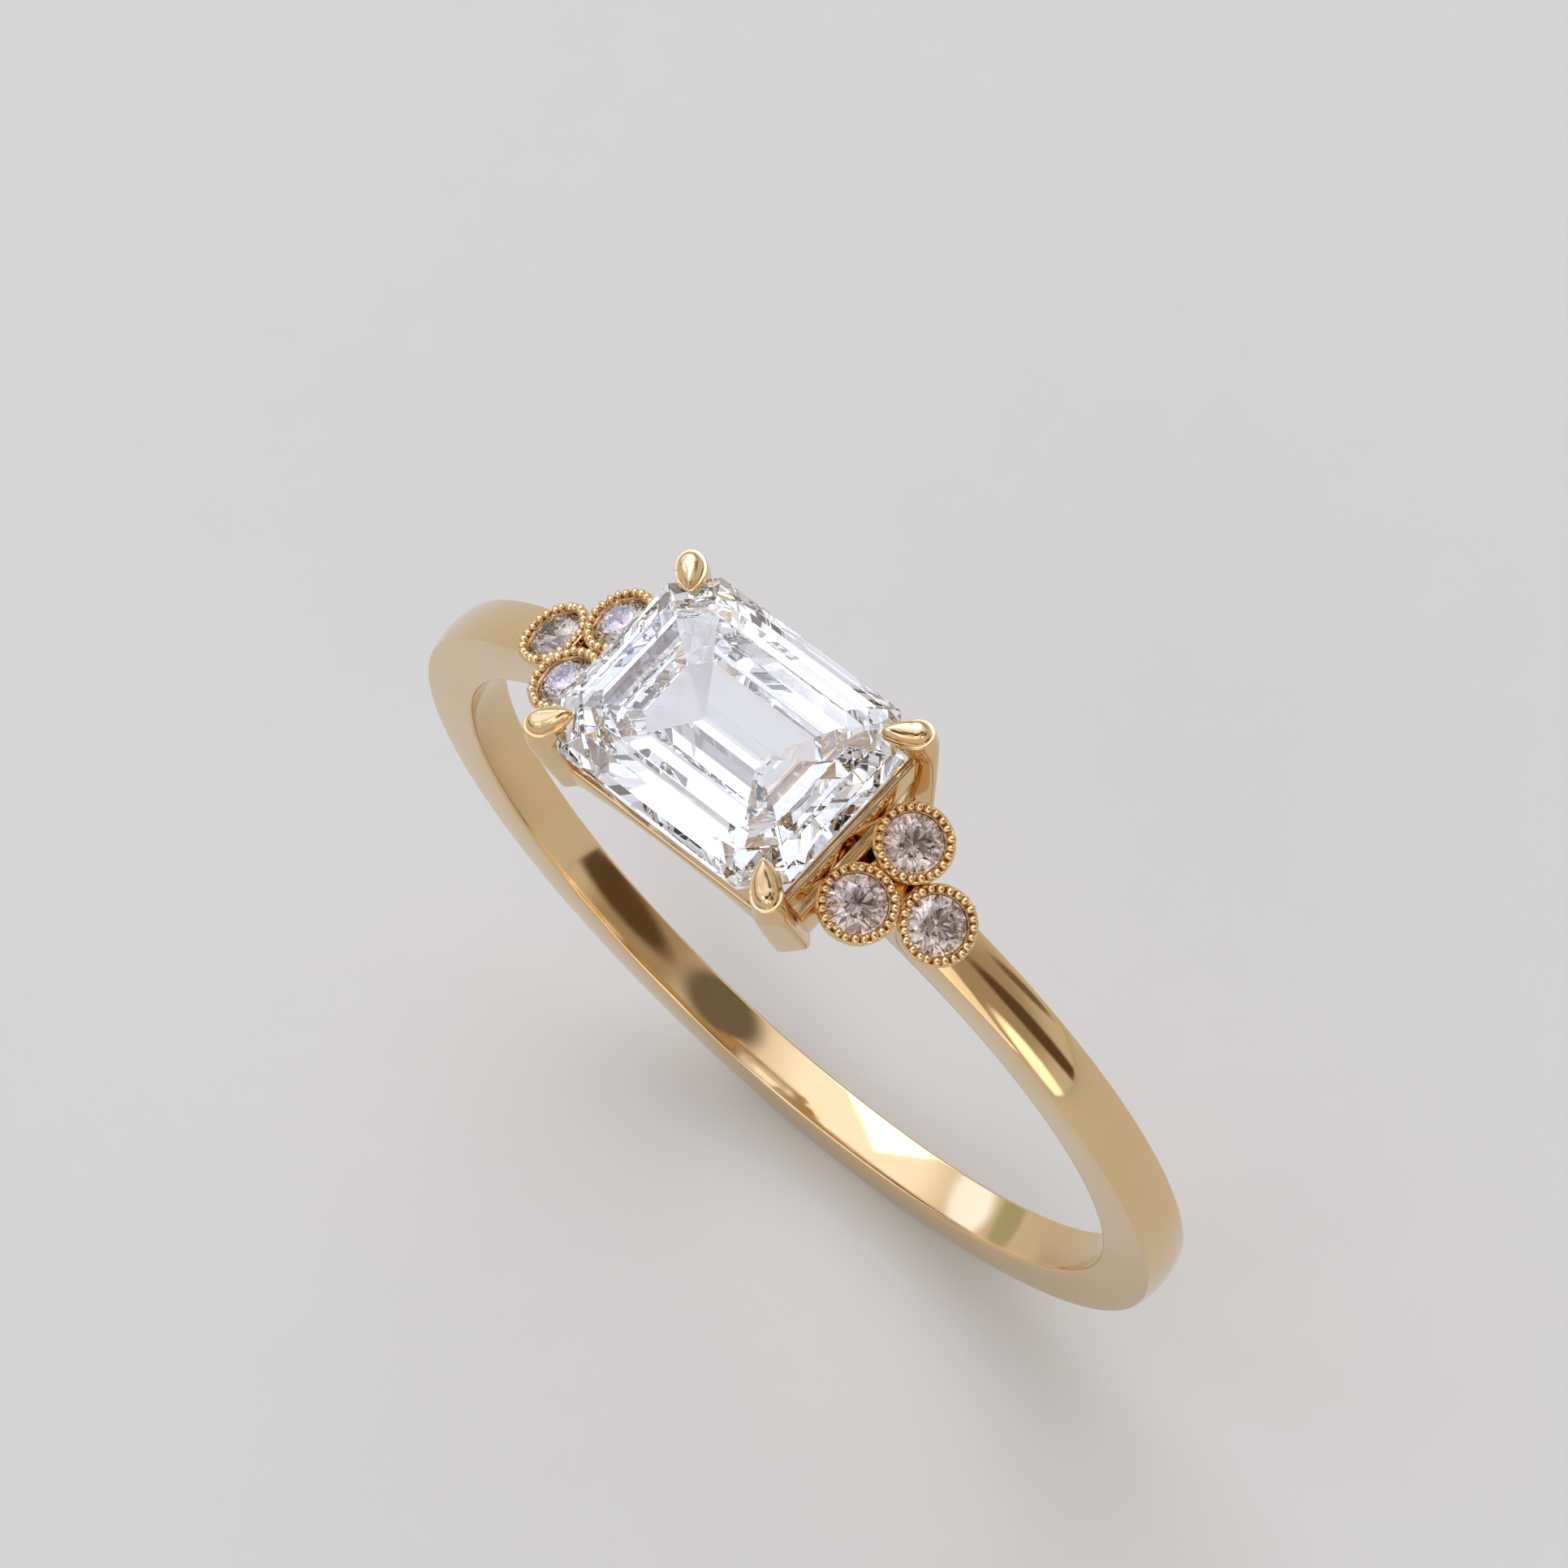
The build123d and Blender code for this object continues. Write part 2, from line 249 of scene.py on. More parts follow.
def finish_piece(piece, finish, nodes, crease=32):
    """Shades, paints and joins a piece to the frame in place of its CAD nodes.

    Edges that turn more than the crease, in degrees, stay sharp. Without one, every facet is flat.
    """
    piece.data.materials.clear()
    piece.data.materials.append(finish)
    if crease:
        piece.data.shade_smooth()
        piece.data.set_sharp_from_angle(angle=radians(crease))
    else:
        piece.data.shade_flat()
    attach(piece, "root")
    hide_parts(*nodes)
    return piece


def lathe(outline, place, steps=96):
    """Rings of a turned shape from (radius, height) points, set in place."""
    rings = []
    for s in range(steps):
        turn = 2 * pi * s / steps
        rings.append([place @ Vector((r * cos(turn), r * sin(turn), z)) for r, z in outline])
    return rings


# ------------------------------------------------------------------ node materials

# Noise scales, in waves per metre
ALLOY_DRIFT, POLISH_HAZE, FINE_SCRATCHES, SOFT_RIPPLE = 420.0, 1500.0, 2600.0, 700.0
CENTRE_DRIFT, ACCENT_DRIFT, GEM_WEAR = 600.0, 1900.0, 5200.0
PAPER_CLOUD, PAPER_TOOTH = 12.0, 900.0
SCRATCH_STRETCH = 14.0
HAZE_SPREAD = 0.06


def node(tree, kind, x, y, **settings):
    """Adds a node at a place in the tree's layout."""
    made = tree.nodes.new(kind)
    made.location = (x, y)
    for key, value in settings.items():
        setattr(made, key, value)
    return made


def noise_node(tree, x, y, scale, detail, coordinates):
    made = node(tree, "ShaderNodeTexNoise", x, y)
    made.inputs["Scale"].default_value = scale
    made.inputs["Detail"].default_value = detail
    tree.links.new(coordinates, made.inputs["Vector"])
    return made


def blank_material(name):
    """A new material with its shader and the object's own coordinates."""
    material = bpy.data.materials.new(name)
    material.use_nodes = True
    tree = material.node_tree
    shader = tree.nodes["Principled BSDF"]
    coordinates = node(tree, "ShaderNodeTexCoord", -1100, 0).outputs["Object"]
    return material, tree, shader, coordinates


def two_tone(tree, source, low, high, first, second, x=-400, y=200):
    """A colour that runs from the first tone to the second as the source rises from low to high."""
    ramp = node(tree, "ShaderNodeValToRGB", x, y)
    ramp.color_ramp.elements[0].position = low
    ramp.color_ramp.elements[1].position = high
    ramp.color_ramp.elements[0].color = (*first, 1)
    ramp.color_ramp.elements[1].color = (*second, 1)
    tree.links.new(source, ramp.inputs["Fac"])
    return ramp.outputs["Color"]


def spread(tree, source, low, high, x=-400, y=-100):
    """The middle range of a noise, stretched to run from low to high."""
    made = node(tree, "ShaderNodeMapRange", x, y)
    made.inputs["From Min"].default_value = 0.3
    made.inputs["From Max"].default_value = 0.7
    made.inputs["To Min"].default_value = low
    made.inputs["To Max"].default_value = high
    tree.links.new(source, made.inputs["Value"])
    return made.outputs["Result"]


def gold_finish(name, colours, polish, ripple):
    """Polished yellow gold: drifting alloy colour, polishing haze, fine scratches and a soft ripple."""
    material, tree, shader, coordinates = blank_material(name)
    drift = noise_node(tree, -800, 250, ALLOY_DRIFT, 3.0, coordinates)
    haze = noise_node(tree, -800, -50, POLISH_HAZE, 4.0, coordinates)
    stretch = node(tree, "ShaderNodeMapping", -950, -350)
    stretch.inputs["Scale"].default_value = (1.0, SCRATCH_STRETCH, 1.0)
    tree.links.new(coordinates, stretch.inputs["Vector"])
    scratches = noise_node(tree, -800, -350, FINE_SCRATCHES, 5.0, stretch.outputs["Vector"])
    waves = noise_node(tree, -800, -600, SOFT_RIPPLE, 2.0, coordinates)
    tone = two_tone(tree, drift.outputs["Fac"], 0.35, 0.65, colours.gold_deep, colours.gold)
    tree.links.new(tone, shader.inputs["Base Color"])
    rough = spread(tree, haze.outputs["Fac"], polish, polish + HAZE_SPREAD)
    tree.links.new(rough, shader.inputs["Roughness"])
    fine = node(tree, "ShaderNodeBump", -350, -350)
    fine.inputs["Strength"].default_value = 0.05
    fine.inputs["Distance"].default_value = 0.002 * MM
    tree.links.new(scratches.outputs["Fac"], fine.inputs["Height"])
    soft = node(tree, "ShaderNodeBump", -150, -350)
    soft.inputs["Strength"].default_value = ripple
    soft.inputs["Distance"].default_value = 0.02 * MM
    tree.links.new(waves.outputs["Fac"], soft.inputs["Height"])
    tree.links.new(fine.outputs["Normal"], soft.inputs["Normal"])
    tree.links.new(soft.outputs["Normal"], shader.inputs["Normal"])
    shader.inputs["Metallic"].default_value = 1.0
    return material


def gem_finish(name, tint, deeper, drift):
    """Clear polished gemstone whose body colour drifts between two tones."""
    material, tree, shader, coordinates = blank_material(name)
    cloud = noise_node(tree, -800, 200, drift, 2.0, coordinates)
    tone = two_tone(tree, cloud.outputs["Fac"], 0.38, 0.62, tint, deeper)
    tree.links.new(tone, shader.inputs["Base Color"])
    wear = noise_node(tree, -800, -100, GEM_WEAR, 3.0, coordinates)
    tree.links.new(spread(tree, wear.outputs["Fac"], 0.0, 0.012), shader.inputs["Roughness"])
    shader.inputs["IOR"].default_value = DIAMOND_REFRACTION
    shader.inputs["Transmission Weight"].default_value = 1.0
    return material


def paper_finish(name, tone):
    """Pale uncoated paper with faint fibres and a soft tooth."""
    material, tree, shader, coordinates = blank_material(name)
    cloud = noise_node(tree, -800, 200, PAPER_CLOUD, 4.0, coordinates)
    darker = [channel * 0.965 for channel in tone]
    shade = two_tone(tree, cloud.outputs["Fac"], 0.3, 0.7, darker, tone)
    tree.links.new(shade, shader.inputs["Base Color"])
    tooth = noise_node(tree, -800, -200, PAPER_TOOTH, 6.0, coordinates)
    bump = node(tree, "ShaderNodeBump", -300, -250)
    bump.inputs["Strength"].default_value = 0.25
    bump.inputs["Distance"].default_value = 0.05 * MM
    tree.links.new(tooth.outputs["Fac"], bump.inputs["Height"])
    tree.links.new(bump.outputs["Normal"], shader.inputs["Normal"])
    tree.links.new(spread(tree, tooth.outputs["Fac"], 0.75, 0.9), shader.inputs["Roughness"])
    return material


FINISHES = {}


def finish_named(name):
    """Each finish is made once and shared by all its pieces."""
    if name not in FINISHES:
        colours = bpy.context.scene.ring_colours
        makers = {
            "band_gold": lambda: gold_finish(name, colours, 0.045, 0.05),
            "head_gold": lambda: gold_finish(name, colours, 0.05, 0.14),
            "bead_gold": lambda: gold_finish(name, colours, 0.07, 0.22),
            "clear_stone": lambda: gem_finish(name, colours.centre, colours.centre_deep, CENTRE_DRIFT),
            "blush_stone": lambda: gem_finish(name, colours.accent, colours.accent_deep, ACCENT_DRIFT),
            "pale_paper": lambda: paper_finish(name, colours.floor),
        }
        FINISHES[name] = makers[name]()
    return FINISHES[name]


# ------------------------------------------------------------------ band and shoulders

def band_section(size):
    """Outline of the band's section as (radius, y): flat inside and sides, low domed top."""
    half = size.width / 2
    rise = size.crest_radius - size.edge_radius
    dome_radius = (half ** 2 + rise ** 2) / (2 * rise)
    dome_steps = 14
    corners = [(size.finger_radius, half), (size.finger_radius, -half), (size.edge_radius, -half)]
    radii = [size.inner_round, size.inner_round, size.edge_round]
    for s in range(1, dome_steps):
        y = half * (2 * s / dome_steps - 1)
        corners.append((size.crest_radius - dome_radius + sqrt(dome_radius ** 2 - y ** 2), y))
        radii.append(0)
    corners.append((size.edge_radius, half))
    radii.append(size.edge_round)
    return rounded(corners, radii)


def sector_cutter(inner, outer, start, end, half_width):
    """A thick wedge of ring between two turns, for trimming."""
    rings = []
    steps = 24
    for s in range(steps + 1):
        turn = start + (end - start) * s / steps
        rings.append([
            polar(inner, turn, -half_width),
            polar(outer, turn, -half_width),
            polar(outer, turn, half_width),
            polar(inner, turn, half_width),
        ])
    return object_from("cutter", *skin(rings))


def cup_place(centre, lean, sign_x, sign_y):
    """Place of one cup's rim centre, with the cup's axis along the place's z."""
    x, y, z = centre
    shift = Matrix.Translation(Vector((sign_x * x, sign_y * y, z)) * MM)
    return shift @ Matrix.Rotation(sign_x * radians(lean), 4, "Y")


def cup_places():
    """Places of the six cups by name, three on each side."""
    places = {}
    for side, sign_x in SIDES:
        for depth, sign_y in DEPTHS:
            places[side + "_" + depth] = cup_place(PAIR_CENTRE, PAIR_LEAN, sign_x, sign_y)
        places[side + "_outer"] = cup_place(OUTER_CENTRE, OUTER_LEAN, sign_x, 1)
    return places


def cup_cutters(size):
    """Solid copies of the cups, a hair inside their walls so that no gap shows."""
    inset = 0.03 * MM
    over_rim = 0.3 * MM
    rim, base, bottom = size.radius - inset, size.base_radius - inset, -size.height + inset
    outline = [(0, over_rim), (rim, over_rim), (rim, 0), (base, bottom), (0, bottom)]
    return [object_from("cutter", *skin(lathe(outline, place, 48), loop=True))
            for place in cup_places().values()]


def build_band(size, cup):
    """Open hoop that thins to a tongue on each side of the head and makes room for the cups."""
    section = band_section(size)
    steps = 420
    start, end = size.tongue_end, 2 * pi - size.tongue_end
    rings = []
    for s in range(steps + 1):
        turn = start + (end - start) * s / steps
        rings.append([polar(radius, turn, y) for radius, y in section])
    band = object_from("band", *skin(rings))
    beyond_crest, beyond_side = 12 * MM, 2 * MM
    space = sector_cutter(size.tongue_radius, beyond_crest, -size.step_angle, size.step_angle, beyond_side)
    cut(band, [space] + cup_cutters(cup))
    finish_piece(band, finish_named("band_gold"), ["shank"])


def build_bridges(size, cup):
    """Shoulder plates that flare from the band's width to the head's width."""
    sink, overlap, overlap_turn = 0.01 * MM, 0.05 * MM, radians(0.6)
    low_round, top_round = 0.05 * MM, 0.09 * MM
    inner, outer = size.tongue_radius - sink, size.bridge_top
    narrow, wide = size.width / 2, size.bridge_half_width
    head_turn = atan2(END_BAR_HIGH.x - overlap, sqrt(inner ** 2 - END_BAR_HIGH.x ** 2))
    band_turn = size.step_angle + overlap_turn
    steps = 30
    for side, sign in SIDES:
        rings = []
        for s in range(steps + 1):
            share = s / steps
            turn = sign * (head_turn + (band_turn - head_turn) * share)
            ease = 0.5 + 0.5 * cos(pi * share)
            half = narrow + (wide - narrow) * ease
            corners = [(inner, half), (inner, -half), (outer, -half), (outer, half)]
            outline = rounded(corners, [low_round, low_round, top_round, top_round], 3)
            rings.append([polar(radius, turn, y) for radius, y in outline])
        bridge = object_from("shoulder_bridge_" + side + "_gold", *skin(rings))
        cut(bridge, cup_cutters(cup))
        finish_piece(bridge, finish_named("head_gold"), ["shoulder_bridge_" + side])


# ------------------------------------------------------------------ head

def build_head_plates():
    """Upright plates at the stone's short sides, each with a fine groove along its top."""
    inner, outer = PLATE_LOW.x, PLATE_HIGH.x
    top, bottom = PLATE_HIGH.z, PLATE_LOW.z
    groove_in, groove_out = inner + 0.035 * MM, inner + 0.060 * MM
    groove_floor = top - 0.05 * MM
    low_round, outer_round, lip_round, floor_round = 0.03 * MM, 0.035 * MM, 0.008 * MM, 0.004 * MM
    corners = [(inner, bottom), (outer, bottom), (outer, top), (groove_out, top), (groove_out, groove_floor),
               (groove_in, groove_floor), (groove_in, top), (inner, top)]
    radii = [low_round, low_round, outer_round, lip_round, floor_round, floor_round, lip_round, lip_round]
    outline = rounded(corners, radii, 3)
    into_claws = 0.15 * MM
    half = PLATE_HIGH.y + into_claws
    steps = 12
    for side, sign in SIDES:
        rings = []
        for s in range(steps + 1):
            y = half * (2 * s / steps - 1)
            rings.append([Vector((sign * x, y, z)) for x, z in outline])
        plate = object_from("head_plate_" + side + "_gold", *skin(rings))
        finish_piece(plate, finish_named("head_gold"), ["head_plate_" + side])


def arch_height(span, arch_radius):
    """Height of the arch over the finger at a distance from the ring's middle."""
    return sqrt(arch_radius ** 2 - span ** 2)


def build_basket(arch_radius):
    """Bars between the claws' feet, their undersides arched over the finger."""
    low_round, top_round = 0.04 * MM, 0.07 * MM
    radii = [low_round, low_round, top_round, top_round]
    steps = 40
    for depth, sign in DEPTHS:
        low_y, high_y, top = SIDE_BAR_LOW.y, SIDE_BAR_HIGH.y, SIDE_BAR_HIGH.z
        rings = []
        for s in range(steps + 1):
            x = SIDE_BAR_HIGH.x * (2 * s / steps - 1)
            under = arch_height(x, arch_radius)
            corners = [(low_y, under), (high_y, under), (high_y, top), (low_y, top)]
            outline = rounded(corners, radii, 3)
            rings.append([Vector((x, sign * y, z)) for y, z in outline])
        bar = object_from("basket_side_bar_" + depth + "_gold", *skin(rings))
        finish_piece(bar, finish_named("head_gold"), ["basket_side_bar_" + depth])
    for side, sign in SIDES:
        low_x, high_x, top = END_BAR_LOW.x, END_BAR_HIGH.x, END_BAR_HIGH.z
        corners = [(low_x, arch_height(low_x, arch_radius)), (high_x, arch_height(high_x, arch_radius)),
                   (high_x, top), (low_x, top)]
        outline = rounded(corners, radii, 3)
        rings = []
        for s in range(steps + 1):
            y = END_BAR_HIGH.y * (2 * s / steps - 1)
            rings.append([Vector((sign * x, y, z)) for x, z in outline])
        bar = object_from("basket_end_bar_" + side + "_gold", *skin(rings))
        finish_piece(bar, finish_named("head_gold"), ["basket_end_bar_" + side])


def leg_outline(depth, width, steps, squareness):
    """Loop between an oval and a box, u outwards along the claw's diagonal and v across it.

    A squareness of 2 gives an oval, and more comes closer to a box.
    """
    power = 2 / squareness
    loop = []
    for s in range(steps):
        turn = 2 * pi * s / steps
        u, v = cos(turn), sin(turn)
        loop.append((abs(u) ** power * (1 if u > 0 else -1) * depth / 2,
                     abs(v) ** power * (1 if v > 0 else -1) * width / 2))
    return loop


def drop_outline(size, steps):
    """Drop-shaped loop, round outside and pointed towards the stone."""
    outward_stretch, point_pinch = 1.2, 1.4
    loop = []
    for s in range(steps):
        turn = 2 * pi * s / steps
        u, v = cos(turn), sin(turn)
        if u >= 0:
            loop.append((u * size.tip_radius * outward_stretch, v * size.tip_radius))
        else:
            half = abs(v) ** point_pinch * size.tip_radius
            loop.append((u * size.tip_point, half if v > 0 else -half))
    return loop


CLAW_AROUND = 64
SQUARE_FOOT, SOFT_SHOULDER = 5.0, 2.5


def leg_rings(size, foot, shoulder, foot_z):
    """Rings of a claw's leg, from its rounded foot to the shoulder."""
    foot_round = 0.05 * MM
    foot_loop = leg_outline(size.leg_foot_depth, size.leg_width, CLAW_AROUND, SQUARE_FOOT)
    rings = []
    for shrink, rise in ((0.82, 0.0), (0.93, 0.3), (0.985, 0.7)):
        z = foot_z + foot_round * rise
        rings.append([(foot.x + u * shrink, foot.y + v * shrink, z) for u, v in foot_loop])
    leg_steps = 14
    for s in range(leg_steps + 1):
        share = s / leg_steps
        z = foot_z + foot_round + (size.shoulder_z - foot_z - foot_round) * share
        centre = foot.lerp(shoulder, share)
        depth = size.leg_foot_depth + (size.leg_top_depth - size.leg_foot_depth) * share
        squareness = SQUARE_FOOT + (SOFT_SHOULDER - SQUARE_FOOT) * share ** 2
        loop = leg_outline(depth, size.leg_width, CLAW_AROUND, squareness)
        rings.append([(centre.x + u, centre.y + v, z) for u, v in loop])
    return rings


def neck_rings(size, shoulder, tip, drop):
    """Rings that blend the leg's outline into the tip's drop."""
    leg = leg_outline(size.leg_top_depth, size.leg_width, CLAW_AROUND, SOFT_SHOULDER)
    rings = []
    for share in (0.2, 0.4, 0.6, 0.8, 1.0):
        ring = []
        for (u0, v0), (u1, v1) in zip(leg, drop):
            u = (shoulder.x + u0) * (1 - share) + (tip.x + u1) * share
            v = (shoulder.y + v0) * (1 - share) + (tip.y + v1) * share
            climb = max(0.0, -u1) * size.tip_climb * share
            ring.append((u, v, size.shoulder_z + (size.tip_base - size.shoulder_z) * share + climb))
        rings.append(ring)
    return rings


def tip_profile(size):
    """Share of the drop's outline and height, over the thin lip and up the dome."""
    lip_z = size.tip_top - 0.25 * MM
    lip = ((1.0, -0.06), (0.995, -0.025), (0.97, -0.005), (0.93, 0.002), (0.86, 0.0), (0.80, 0.006),
           (0.775, 0.03))
    profile = [(share, lip_z + rise * MM) for share, rise in lip]
    dome_share, dome_rise = lip[-1]
    dome_z = lip_z + dome_rise * MM
    dome = size.tip_top - dome_z
    roundness = 0.7
    dome_steps = 9
    for s in range(1, dome_steps):
        lift = pi / 2 * s / dome_steps
        profile.append((dome_share * cos(lift) ** roundness, dome_z + dome * sin(lift)))
    return profile


def tip_rings(size, tip, drop):
    """Rings of the tip, which keeps its length towards the point as it shrinks."""
    point_hold = 0.22
    rings = []
    for shrink, z in tip_profile(size):
        ring = []
        for u, v in drop:
            toward_point = max(0.0, -u) / size.tip_point
            reach = min(1.0, shrink * (1 + point_hold * toward_point))
            climb = max(0.0, -u * reach) * size.tip_climb
            ring.append((tip.x + u * reach, tip.y + v * shrink, z + climb))
        rings.append(ring)
    return rings


def drift_at(point):
    """A smooth shift in three directions that is the same on every run."""
    apart = 31.7
    return Vector([noise.noise(point + Vector((0, 0, apart * axis))) for axis in range(3)])


def build_claws(size, arch_radius):
    """Four claws, each shaped along its own diagonal and made slightly uneven."""
    out = Vector((1, 1, 0)).normalized()
    across = Vector((-1, 1, 0)).normalized()

    def local(x, y):
        point = Vector((x, y, 0))
        return Vector((point.dot(out), point.dot(across)))

    foot, shoulder = local(size.foot_x, size.foot_y), local(size.shoulder_x, size.shoulder_y)
    tip = local(size.tip_x, size.tip_y)
    foot_reach, foot_sink = 0.25 * MM, 0.02 * MM
    foot_z = arch_height(size.foot_x + foot_reach, arch_radius) - foot_sink
    drop = drop_outline(size, CLAW_AROUND)
    rings = leg_rings(size, foot, shoulder, foot_z)
    rings += neck_rings(size, shoulder, tip, drop)
    rings += tip_rings(size, tip, drop)
    wave = 2.6 / MM
    tip_wobble, leg_wobble = 0.022 * MM, 0.008 * MM
    tip_depth = 0.24 * MM
    for i, (side, sign_x) in enumerate(SIDES):
        for j, (depth, sign_y) in enumerate(DEPTHS):
            seed = Vector((7.3 * i, 4.1 * j, 2.2))
            placed = []
            for ring in rings:
                loop = []
                for u, v, z in ring:
                    point = out * u + across * v + Vector((0, 0, z))
                    strength = tip_wobble if z > size.tip_top - tip_depth else leg_wobble
                    wobble = drift_at(point * wave + seed) * strength
                    loop.append(Vector((sign_x * (point.x + wobble.x), sign_y * (point.y + wobble.y),
                                        point.z + wobble.z)))
                placed.append(loop)
            name = "claw_" + side + "_" + depth
            claw = object_from(name + "_gold", *skin(placed))
            finish_piece(claw, finish_named("head_gold"), [name], crease=40)


# ------------------------------------------------------------------ cups and stones

def cup_outline(size):
    """Half section of a cup: thin outer lip, bead channel, mouth, cone seat and drilled hole."""
    lip = size.radius - size.lip
    half_girdle = 0.015 * MM
    seat_z = -size.girdle_depth - half_girdle
    hole_z = seat_z - (size.mouth_radius - size.hole_radius) * tan(radians(PAVILION_ANGLE))
    wall_top, lip_foot, lip_inside = -0.16 * MM, -0.075 * MM, -0.06 * MM
    channel, mouth_edge = -0.15 * MM, -0.085 * MM
    points = (
        # radius, height, rounding
        (size.hole_radius, -size.height, 0.02 * MM),
        (size.base_radius, -size.height, 0.03 * MM),
        (size.radius, wall_top, 0.03 * MM),
        (size.radius, lip_foot, 0.012 * MM),
        (lip, -size.lip_depth, 0.008 * MM),
        (lip - 0.02 * MM, lip_inside, 0.008 * MM),
        (size.bead_circle, channel, 0.0),
        (size.mouth_radius, mouth_edge, 0.01 * MM),
        (size.mouth_radius, seat_z, 0.0),
        (size.hole_radius, hole_z, 0.02 * MM),
    )
    return rounded([point[:2] for point in points], [point[2] for point in points], 3)


FIRST_CUP_SEED = 40
# Half sizes of a bead as shares of the bead radius: across the rim, along it and upwards
BEAD_LIMITS = ((1.05, 1.28), (0.84, 1.02), (0.90, 1.12))


def add_bead(verts, faces, centre, axes, half_sizes):
    """One egg-shaped bead with its three half sizes along the given axes."""
    rows, around = 7, 12
    stretch = axes @ Matrix.Diagonal(half_sizes)
    first = len(verts)
    for i in range(1, rows):
        lift = pi * i / rows
        for k in range(around):
            turn = 2 * pi * k / around
            ball = Vector((sin(lift) * cos(turn), sin(lift) * sin(turn), cos(lift)))
            verts.append(centre + stretch @ ball)
    top, bottom = len(verts), len(verts) + 1
    verts.append(centre + stretch @ Vector((0, 0, 1)))
    verts.append(centre - stretch @ Vector((0, 0, 1)))
    for i in range(rows - 2):
        for k in range(around):
            m = (k + 1) % around
            row, below = first + i * around, first + (i + 1) * around
            faces.append((row + k, below + k, below + m, row + m))
    last = first + (rows - 2) * around
    for k in range(around):
        m = (k + 1) % around
        faces.append((top, first + k, first + m))
        faces.append((bottom, last + m, last + k))


def build_cups(size):
    """Six cups, each rim with its circle of slightly uneven beads."""
    outline = cup_outline(size)
    for i, (name, place) in enumerate(cup_places().items()):
        draw = Random(FIRST_CUP_SEED + i)
        verts, faces = skin(lathe(outline, place, 120), loop=True)
        axes = place.to_3x3()
        offset = draw.uniform(0, 2 * pi / size.beads)
        for b in range(size.beads):
            turn = offset + 2 * pi * (b + draw.uniform(-0.13, 0.13)) / size.beads
            reach = size.bead_circle + draw.uniform(-0.012, 0.008) * MM
            local = Vector((reach * cos(turn), reach * sin(turn), draw.uniform(-0.065, -0.045) * MM))
            lean = Matrix.Rotation(turn, 3, "Z") @ Matrix.Rotation(draw.uniform(-0.5, 0.5), 3, "Y")
            half_sizes = [size.bead_radius * draw.uniform(*limits) for limits in BEAD_LIMITS]
            add_bead(verts, faces, place @ local, axes @ lean, half_sizes)
        cup = object_from("bezel_" + name + "_gold", verts, faces)
        finish_piece(cup, finish_named("bead_gold"), ["bezel_" + name], crease=50)


def step_octagon(size, z, inset, corner):
    """Loop of a rectangle with cut corners, its sides moved in from the girdle's."""
    half_length, half_width = size.length / 2 - inset, size.width / 2 - inset
    quarter = [(half_length, half_width - corner), (half_length - corner, half_width)]
    loop = list(quarter)
    loop += [(-x, y) for x, y in reversed(quarter)]
    loop += [(-x, -y) for x, y in quarter]
    loop += [(x, -y) for x, y in reversed(quarter)]
    return [Vector((x, y, z)) for x, y in loop]


def polish_edges(stone, above, width):
    """Narrow polished flats along the facet edges that lie above a height."""
    work = bmesh.new()
    work.from_mesh(stone.data)
    edges = [edge for edge in work.edges if min(vert.co.z for vert in edge.verts) > above]
    bmesh.ops.bevel(work, geom=edges, offset=width, segments=1, affect="EDGES")
    work.to_mesh(stone.data)
    work.free()


def build_centre_stone(size):
    """Step-cut stone: three crown steps, a thin girdle and three pavilion steps down to a keel."""
    crown, pavilion = size.table_z - size.girdle_z, size.keel_z - size.girdle_z
    rings = [step_octagon(size, size.girdle_z + crown * share, inset * MM, corner * MM)
             for share, inset, corner in CROWN_STEPS]
    for edge in (size.girdle_half, -size.girdle_half):
        rings.append(step_octagon(size, size.girdle_z + edge, 0.0, size.corner))
    rings += [step_octagon(size, size.girdle_z + pavilion * share, inset * MM, corner * MM)
              for share, inset, corner in PAVILION_STEPS]
    stone = object_from("centre_stone_cut", *skin(rings))
    above_girdle, flat_width = 0.2 * MM, 0.010 * MM
    polish_edges(stone, size.girdle_z + above_girdle, flat_width)
    finish_piece(stone, finish_named("clear_stone"), ["centre_stone"], crease=None)


def brilliant_facets(radius, edge):
    """Points and facets of a round brilliant with its girdle between -edge and edge."""
    folds = 8
    fold = 2 * pi / folds
    crown, pavilion = tan(radians(CROWN_ANGLE)), tan(radians(PAVILION_ANGLE))
    table, star, lower = TABLE_SHARE * radius, STAR_SHARE * radius, LOWER_SHARE * radius
    table_z = edge + (radius - table) * crown
    star_z = edge + (radius - star * cos(fold / 2)) * crown
    lower_z = -edge - (radius - lower * cos(fold / 2)) * pavilion
    verts = []

    def ring(count, reach, z, shift):
        """Adds a circle of points and returns how to find each by its number."""
        start = len(verts)
        for i in range(count):
            turn = (i + shift) * 2 * pi / count
            verts.append(Vector((reach * cos(turn), reach * sin(turn), z)))
        return lambda i: start + i % count

    tables = ring(folds, table, table_z, 0)
    stars = ring(folds, star, star_z, 0.5)
    tops = ring(2 * folds, radius, edge, 0)
    bottoms = ring(2 * folds, radius, -edge, 0)
    lowers = ring(folds, lower, lower_z, 0.5)
    culet = len(verts)
    verts.append(Vector((0, 0, -edge - radius * pavilion)))
    faces = [tuple(tables(i) for i in range(folds))]
    for i in range(folds):
        faces.append((tables(i), stars(i), tables(i + 1)))
        faces.append((tables(i), stars(i - 1), tops(2 * i), stars(i)))
        faces.append((culet, lowers(i), bottoms(2 * i), lowers(i - 1)))
        for half in (2 * i, 2 * i + 1):
            faces.append((stars(i), tops(half), tops(half + 1)))
            faces.append((tops(half), bottoms(half), bottoms(half + 1), tops(half + 1)))
            faces.append((lowers(i), bottoms(half + 1), bottoms(half)))
    return verts, faces


